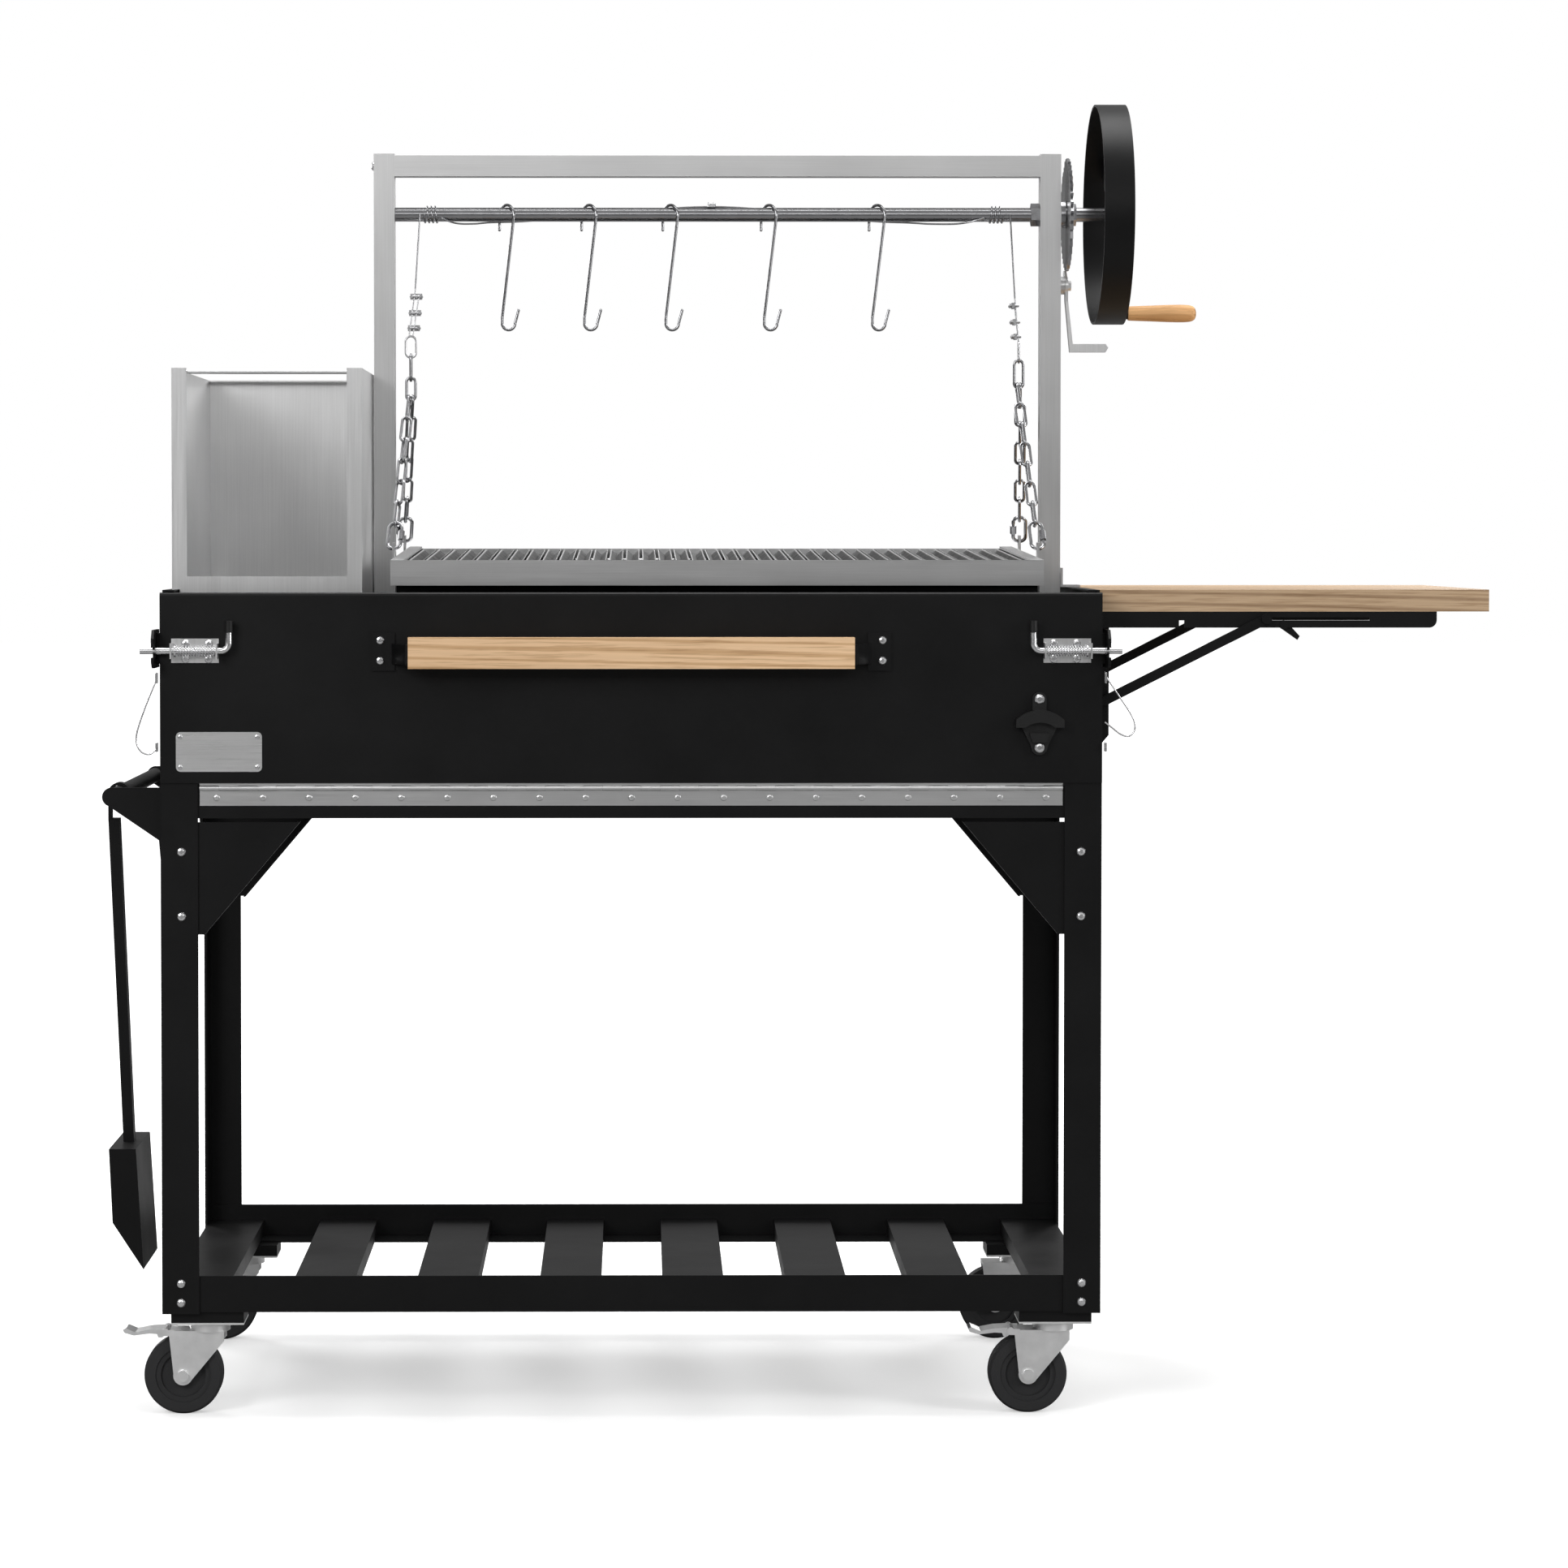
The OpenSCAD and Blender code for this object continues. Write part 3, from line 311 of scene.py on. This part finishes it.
DARK_ZINC = plated("wire_zinc", (0.36, 0.36, 0.37), 0.2)
CHARCOAL_GRATE = grill_steel("charcoal_grate_steel")
# The channel bars lie side by side on cross rods, which reach past them at both ends
BAR_COUNT = 37
ROD_OVERHANG = 0.014
bars_low, bars_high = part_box("grate_bars")
bars_from = bars_low.x + ROD_OVERHANG
bar_pitch = (bars_high.x - bars_low.x - 2 * ROD_OVERHANG) / BAR_COUNT
# The bars' edges get a painted highlight
GRATE_BARS = grill_steel("channel_bar_steel", bars_from, bar_pitch, lip_highlights=True)
PALE_ASH = ash_wood("handle_ash", (0.78, 0.54, 0.33), (0.6, 0.38, 0.2))
CRANK_ASH = ash_wood("crank_ash", (0.8, 0.47, 0.22), (0.66, 0.36, 0.15))
STAVE_WIDTH = 0.0619
TABLE_ASH = ash_wood("table_ash", (0.56, 0.41, 0.27), (0.38, 0.26, 0.16), STAVE_WIDTH)
RUBBER = rubber("wheel_rubber")


def paint(names, material):
    """Gives CAD nodes one material."""
    for name in names:
        slots = NODES[name].data.materials
        slots.clear()
        slots.append(material)


paint(BLACK_NODES, BLACK)
paint(["bottle_opener"], CAST_BLACK)
paint(BRUSHED_X_NODES, BRUSHED_X)
paint(BRUSHED_Z_NODES, BRUSHED_Z)
paint(["lift_frame"], BRUSHED_FRAME)
paint(ZINC_NODES, ZINC)
paint(CASTER_NODES, CASTER_ZINC)
paint(["cable_ends"], CLIP_ZINC)
paint(["nameplate"], PLATE_STEEL)
paint(DARK_ZINC_NODES, DARK_ZINC)
paint(["grate_bars"], GRATE_BARS)
paint(["charcoal_grate"], CHARCOAL_GRATE)
paint(["table_top"], TABLE_ASH)
paint(["door_handle_grip"], PALE_ASH)
paint(["crank_grip"], CRANK_ASH)
paint([f"caster_wheel_{c}" for c in ("fl", "fr", "rl", "rr")], RUBBER)


# ---------------------------------------------------------------- softened edges
def soften(names, width, segments=2):
    """Rounds the sharp edges of a CAD node with a modifier, inside its own box."""
    for name in names:
        bevel = NODES[name].modifiers.new("soft_edge", "BEVEL")
        bevel.width = width
        bevel.segments = segments
        bevel.limit_method = "ANGLE"
        bevel.angle_limit = math.radians(40)
        bevel.harden_normals = True


soften(["table_top"], 0.003, 3)
soften(["door_handle_grip"], 0.005, 4)
soften(["lift_frame"], 0.0018, 3)
soften(["fire_basket_hood", "handwheel", "coal_shovel", "bottle_opener"], 0.0008)
soften("legs shelf_rails shelf_slats apron_rails gusset_plates grate_frame table_arms".split(), 0.0007)


# ---------------------------------------------------------------- wire pieces
def tube(name, points, radius, material, sides=10):
    """A round wire as a mesh through points in metres."""
    curve = bpy.data.curves.new(name, "CURVE")
    curve.dimensions = "3D"
    curve.bevel_depth = radius
    curve.bevel_resolution = sides // 2 - 2
    curve.use_fill_caps = True
    line = curve.splines.new("POLY")
    line.points.add(len(points) - 1)
    for place, point in zip(line.points, points):
        place.co = (*point, 1)
    holder = bpy.data.objects.new(name + "_curve", curve)
    bpy.context.scene.collection.objects.link(holder)
    bpy.context.view_layer.update()
    mesh = bpy.data.meshes.new_from_object(holder.evaluated_get(bpy.context.evaluated_depsgraph_get()))
    bpy.data.objects.remove(holder)
    for face in mesh.polygons:
        face.use_smooth = True
    mesh.materials.clear()
    mesh.materials.append(material)
    made = bpy.data.objects.new(name, mesh)
    bpy.context.scene.collection.objects.link(made)
    return made


def smooth_path(points, steps=8):
    """A Catmull-Rom line through points."""
    v = [Vector(p) for p in points]
    v = [2 * v[0] - v[1]] + v + [2 * v[-1] - v[-2]]
    path = []
    for a, b, c, d in zip(v, v[1:], v[2:], v[3:]):
        for k in range(steps):
            t = k / steps
            square = (2 * a - 5 * b + 4 * c - d) * t * t
            cube = (3 * b - a - 3 * c + d) * t ** 3
            path.append(0.5 * (2 * b + (c - a) * t + square + cube))
    path.append(v[-2])
    return path


def helix(start, end, radius, turns, first=0.0, steps=20):
    """Points of a coil about the line from start to end, along X, from the angle first."""
    points = []
    total = int(turns * steps)
    for k in range(total + 1):
        t = k / total
        angle = first + 2 * math.pi * turns * t
        x = start[0] + (end[0] - start[0]) * t
        points.append((x, start[1] + radius * math.cos(angle), start[2] + radius * math.sin(angle)))
    return points


COIL_WIRE = 0.0007
COIL_RADIUS = 0.0064
COIL_TURNS = 14


def latch_springs():
    """Coil springs between each latch's inner flange and its washer."""
    for side in ("left", "right"):
        low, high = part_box(f"latch_spring_{side}")
        y, z = (low.y + high.y) / 2, (low.z + high.z) / 2
        coil = helix((low.x + COIL_WIRE, y, z), (high.x - COIL_WIRE, y, z), COIL_RADIUS, COIL_TURNS)
        piece = tube(f"latch_coil_{side}", coil, COIL_WIRE, ZINC, 8)
        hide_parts(f"latch_spring_{side}")
        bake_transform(piece)


WIRE = 0.0012
WRAP_TURNS = 3.5
WRAP_LENGTH = 0.0186
# From the shaft's axis to the middle of a cable that lies on it
WRAP_RADIUS = 0.01075
# How far along the shaft each tail runs, bowed out from it, short of the nearest hook
TAIL_BOW = {"left": 0.07, "right": 0.11}
# The bow's points: the share of its length, the angle about the shaft and the distance out from it
BOW_POINTS = ((0.08, -150, 0.0), (0.35, -105, 0.0016), (0.7, -95, 0.0018), (1.0, -80, 0.0))
# After the bow, the tail turns about the shaft, in degrees, on its way to the clamp
TAIL_FROM = -80
TAIL_TURN = 170
TAIL_STEPS = 8
# The clamp that holds both tails on top of the shaft, and its two bolts, from the shaft's axis
CLAMP_X = CART_X + 0.108
CLAMP_HALF = (0.006, 0.005)
CLAMP_HEIGHTS = (0.0097, 0.0142)
BOLT_OFFSET = 0.0032
BOLT_HEIGHTS = (0.0135, 0.0168)
BOLT_RADIUS = 0.0019


def about_shaft(x, y, z, radius, degrees):
    """The point at an angle and a radius from the shaft's axis through y and z."""
    angle = math.radians(degrees)
    return (x, y + radius * math.cos(angle), z + radius * math.sin(angle))


def cable_tail(last, y, z, run):
    """From a coil's last point, a bowed run along the shaft, then a slow turn round it to the clamp."""
    tail = [last]
    for share, degrees, out in BOW_POINTS:
        tail.append(about_shaft(last.x + run * share, y, z, WRAP_RADIUS + out, degrees))
    start = last.x + run
    for k in range(1, TAIL_STEPS + 1):
        x = start + (CLAMP_X - start) * k / TAIL_STEPS
        tail.append(about_shaft(x, y, z, WRAP_RADIUS, TAIL_FROM + TAIL_TURN * k / TAIL_STEPS))
    return smooth_path(tail)


def cable_wraps():
    """Each cable's turns about the shaft, its tail along the shaft and the clamp that holds both tails."""
    wraps_low, wraps_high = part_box("cable_wraps")
    y = (wraps_low.y + wraps_high.y) / 2
    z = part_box("cable_drops")[1].z
    for side, x, inwards in (("left", wraps_low.x + WIRE, 1), ("right", wraps_high.x - WIRE, -1)):
        coil = helix((x, y, z), (x + inwards * WRAP_LENGTH, y, z), WRAP_RADIUS, WRAP_TURNS, math.pi)
        tail = cable_tail(Vector(coil[-1]), y, z, inwards * TAIL_BOW[side])
        piece = tube(f"cable_wrap_{side}", coil + tail[1:], WIRE, DARK_ZINC)
        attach(piece, "shaft")
        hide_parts("cable_wraps")
    half_length, half_width = CLAMP_HALF
    bottom, top = CLAMP_HEIGHTS
    low_corner = (CLAMP_X - half_length, y - half_width, z + bottom)
    high_corner = (CLAMP_X + half_length, y + half_width, z + top)
    saddle = box_piece("cable_clamp", low_corner, high_corner)
    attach(saddle, "shaft")
    for k, x in enumerate((CLAMP_X - BOLT_OFFSET, CLAMP_X + BOLT_OFFSET)):
        shank = [(x, y, z + height) for height in BOLT_HEIGHTS]
        bolt = tube(f"clamp_bolt_{k + 1}", shank, BOLT_RADIUS, ZINC)
        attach(bolt, "shaft")


# Each cable run's X at the shaft and at its foot, from the cart's zero, and the height of its foot
CABLE_RUNS = {"left": (-0.2856, -0.2919, 1.4725), "right": (0.511, 0.5177, 1.4595)}


def cable_drops():
    """The cable's two straight runs, which shorten as the grate rises."""
    low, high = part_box("cable_drops")
    y = (low.y + high.y) / 2
    for side, (top_x, foot_x, foot_z) in CABLE_RUNS.items():
        top = Vector((CART_X + top_x, y, high.z))
        end = Vector((CART_X + foot_x, y, foot_z))
        points = [top.lerp(end, k / 12) for k in range(13)]
        piece = tube(f"cable_drop_{side}", points, WIRE, DARK_ZINC)
        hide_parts("cable_drops")
        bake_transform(piece)


# A stay's bends, in millimetres from the cart's zero and up from the floor
STAY_BENDS = {
    "left": [(-609, 957), (-622, 926), (-634, 892), (-636, 874), (-630, 862), (-619, 859), (-609, 867)],
    "right": [(609, 961), (627, 934), (644, 908), (648, 892), (641, 882), (630, 884), (618, 893), (609, 900)],
}
STAY_WIRE = 0.0011
STAY_INSET = 0.004
LUG_X = 0.610
LUG_HALF = 0.0015
LUG_HEIGHTS = {"upper": (0.950, 0.964), "lower": (0.862, 0.874)}


def door_stays():
    """A bent wire in two lugs on each side of the firebox."""
    low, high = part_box("door_stays")
    y = low.y + STAY_INSET
    for side, outwards in (("left", -1), ("right", 1)):
        points = smooth_path([(x / 1000 + CART_X, y, z / 1000) for x, z in STAY_BENDS[side]])
        piece = tube(f"door_stay_{side}", points, STAY_WIRE, ZINC, 8)
        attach(piece, "cart")
        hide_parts("door_stays")
        x = outwards * LUG_X + CART_X
        for name, (bottom, top) in LUG_HEIGHTS.items():
            low_corner = (x - LUG_HALF, low.y, bottom)
            high_corner = (x + LUG_HALF, high.y, top)
            lug = box_piece(f"stay_lug_{side}_{name}", low_corner, high_corner)
            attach(lug, "cart")


def box_piece(name, low, high):
    """A small block with rounded edges."""
    mesh = bpy.data.meshes.new(name)
    work = bmesh.new()
    bmesh.ops.create_cube(work, size=1.0)
    size = Vector(high) - Vector(low)
    bmesh.ops.scale(work, vec=size, verts=work.verts)
    bmesh.ops.translate(work, vec=(Vector(high) + Vector(low)) / 2, verts=work.verts)
    rounding = min(size) * 0.25
    bmesh.ops.bevel(work, geom=work.edges[:], offset=rounding, segments=3, profile=0.5, affect="EDGES")
    work.to_mesh(mesh)
    work.free()
    mesh.materials.append(ZINC)
    made = bpy.data.objects.new(name, mesh)
    bpy.context.scene.collection.objects.link(made)
    return made


# A latch's upturned finger, from the cart's zero, and the sleeve on it
FINGER_X = 0.516
FINGER_Y = -0.327
SLEEVE_BOTTOM = 1.0155
SLEEVE_RADIUS = 0.0054
SLEEVE_OVER = 0.0001


def latch_sleeves():
    """Black sleeves on the latches' fingers, just over their ends."""
    y = FINGER_Y + CART_Y
    for side, sign in (("left", -1), ("right", 1)):
        x = sign * FINGER_X + CART_X
        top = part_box(f"latch_bolt_{side}")[1].z + SLEEVE_OVER
        line = [(x, y, SLEEVE_BOTTOM), (x, y, top)]
        piece = tube(f"latch_sleeve_{side}", line, SLEEVE_RADIUS, SLEEVE, 20)
        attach(piece, f"latch_{side}")


# The grip's outline: the distance along it and the radius there
GRIP_OUTLINE = [
    (0.0, 0.0052), (0.0, 0.0088), (0.0015, 0.0096), (0.012, 0.0101), (0.03, 0.0107), (0.05, 0.0115),
    (0.068, 0.0119), (0.08, 0.0116), (0.087, 0.0103), (0.0905, 0.0078), (0.0922, 0.004), (0.0926, 0.0),
]
GRIP_SIDES = 40
SMALLEST_RADIUS = 0.00005


def crank_handle():
    """The turned wooden grip, rounded over the end of its bolt."""
    low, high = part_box("crank_grip")
    y, z = (low.y + high.y) / 2, (low.z + high.z) / 2
    line = [Vector((x, r, 0)) for x, r in GRIP_OUTLINE]
    line = [line[0]] + smooth_path(line[1:], 4)
    mesh = bpy.data.meshes.new("crank_handle")
    work = bmesh.new()
    turns = [2 * math.pi * k / GRIP_SIDES for k in range(GRIP_SIDES)]
    rings = []
    for point in line:
        radius = max(point.y, SMALLEST_RADIUS)
        x = low.x + point.x
        ring = [(x, y + radius * math.cos(t), z + radius * math.sin(t)) for t in turns]
        rings.append([work.verts.new(place) for place in ring])
    for first, second in zip(rings, rings[1:]):
        for k in range(GRIP_SIDES):
            after = (k + 1) % GRIP_SIDES
            work.faces.new((first[k], first[after], second[after], second[k]))
    work.faces.new(rings[0][::-1])
    work.faces.new(rings[-1])
    bmesh.ops.recalc_face_normals(work, faces=work.faces[:])
    work.to_mesh(mesh)
    work.free()
    for face in mesh.polygons:
        face.use_smooth = len(face.vertices) == 4
    mesh.materials.append(CRANK_ASH)
    grip = bpy.data.objects.new("crank_handle", mesh)
    bpy.context.scene.collection.objects.link(grip)
    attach(grip, "crank_grip")
    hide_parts("crank_grip")


latch_springs()
crank_handle()
cable_wraps()
cable_drops()
door_stays()
latch_sleeves()


# ---------------------------------------------------------------- studio
def seen_directly(tree, seen, lighting):
    """Mixes two shaders: one for what the camera sees, the other for the light that it gives."""
    path = tree.nodes.new("ShaderNodeLightPath")
    mix = tree.nodes.new("ShaderNodeMixShader")
    tree.links.new(path.outputs["Is Camera Ray"], mix.inputs["Fac"])
    tree.links.new(lighting, mix.inputs[1])
    tree.links.new(seen, mix.inputs[2])
    return mix.outputs["Shader"]


FLOOR_HALF = 40


def floor():
    """A pale floor that takes soft shadows near the object and fades to white away from it."""
    mesh = bpy.data.meshes.new("floor")
    corners = [(x * FLOOR_HALF, y * FLOOR_HALF, 0) for x, y in ((-1, -1), (1, -1), (1, 1), (-1, 1))]
    mesh.from_pydata(corners, [], [(0, 1, 2, 3)])
    plane = bpy.data.objects.new("floor", mesh)
    bpy.context.scene.collection.objects.link(plane)
    m = Material("pale_floor", (0.8, 0.8, 0.8), 0.85, specular=0.05)
    distance = m.node("ShaderNodeVectorMath", operation="LENGTH")
    m.link(m.coords.outputs["Object"], distance.inputs[0])
    fade = m.node("ShaderNodeMapRange", interpolation_type="SMOOTHSTEP")
    for key, value in (("From Min", 1.0), ("From Max", 3.2), ("To Min", 0.42), ("To Max", 1.0)):
        fade.inputs[key].default_value = value
    m.link(distance.outputs["Value"], fade.inputs["Value"])
    m.link(fade.outputs["Result"], m.shader.inputs["Emission Strength"])
    m.shader.inputs["Emission Color"].default_value = (1, 1, 1, 1)
    plain = m.node("ShaderNodeBsdfDiffuse")
    plain.inputs["Color"].default_value = (0.3, 0.3, 0.3, 1)
    shader = seen_directly(m.tree, m.shader.outputs["BSDF"], plain.outputs["BSDF"])
    m.link(shader, m.tree.nodes["Material Output"].inputs["Surface"])
    mesh.materials.append(m.data)


def surroundings():
    """White behind the object; as light, a dim room that is brighter overhead."""
    world = bpy.data.worlds.new("studio")
    bpy.context.scene.world = world
    world.use_nodes = True
    tree = world.node_tree
    light = tree.nodes["Background"]
    coords = tree.nodes.new("ShaderNodeTexCoord")
    split = tree.nodes.new("ShaderNodeSeparateXYZ")
    tree.links.new(coords.outputs["Generated"], split.inputs["Vector"])
    ramp = tree.nodes.new("ShaderNodeMapRange")
    for key, value in (("From Min", 0.0), ("From Max", 0.7), ("To Min", 0.12), ("To Max", 0.5)):
        ramp.inputs[key].default_value = value
    tree.links.new(split.outputs["Z"], ramp.inputs["Value"])
    tree.links.new(ramp.outputs["Result"], light.inputs["Strength"])
    light.inputs["Color"].default_value = (1, 1, 1, 1)
    white = tree.nodes.new("ShaderNodeBackground")
    white.inputs["Color"].default_value = (1, 1, 1, 1)
    shader = seen_directly(tree, white.outputs["Background"], light.outputs["Background"])
    tree.links.new(shader, tree.nodes["World Output"].inputs["Surface"])


def area_light(name, at, to, size, power):
    """A rectangular light of a size in metres and a power in watts, facing a point."""
    light = bpy.data.lights.new(name, "AREA")
    light.shape = "RECTANGLE"
    light.size, light.size_y = size
    light.energy = power
    holder = bpy.data.objects.new(name, light)
    holder.location = at
    holder.rotation_euler = (Vector(to) - Vector(at)).to_track_quat("-Z", "Y").to_euler()
    bpy.context.scene.collection.objects.link(holder)


def studio():
    """The floor, the surroundings and six large soft lights."""
    floor()
    surroundings()
    area_light("key", (-3.4, -5.0, 3.4), (0, 0, 1.0), (2.2, 2.6), 150)
    area_light("front", (0.6, -8.0, 3.4), (0, 0, 1.2), (5.0, 1.4), 48)
    area_light("fill", (4.6, -2.6, 2.0), (0, 0, 1.0), (1.6, 2.8), 110)
    area_light("top", (0, 0.3, 4.4), (0, 0, 1.0), (3.4, 2.0), 130)
    area_light("back_left", (-3.6, 4.2, 2.8), (0, 0, 1.0), (1.6, 2.6), 110)
    area_light("back_right", (3.2, 5.0, 3.0), (0, 0, 1.0), (2.6, 2.0), 120)


def camera():
    """The photo's own view."""
    data = bpy.data.cameras.new("camera")
    data.sensor_width = 36
    data.lens = CAMERA_LENS
    data.shift_x, data.shift_y = CAMERA_SHIFT
    holder = bpy.data.objects.new("camera", data)
    holder.location = CAMERA_AT
    holder.rotation_euler = (math.radians(90 - CAMERA_DOWN), 0, math.radians(-CAMERA_RIGHT))
    bpy.context.scene.collection.objects.link(holder)
    bpy.context.scene.camera = holder


studio()
camera()
bpy.context.scene.view_settings.view_transform = "Standard"
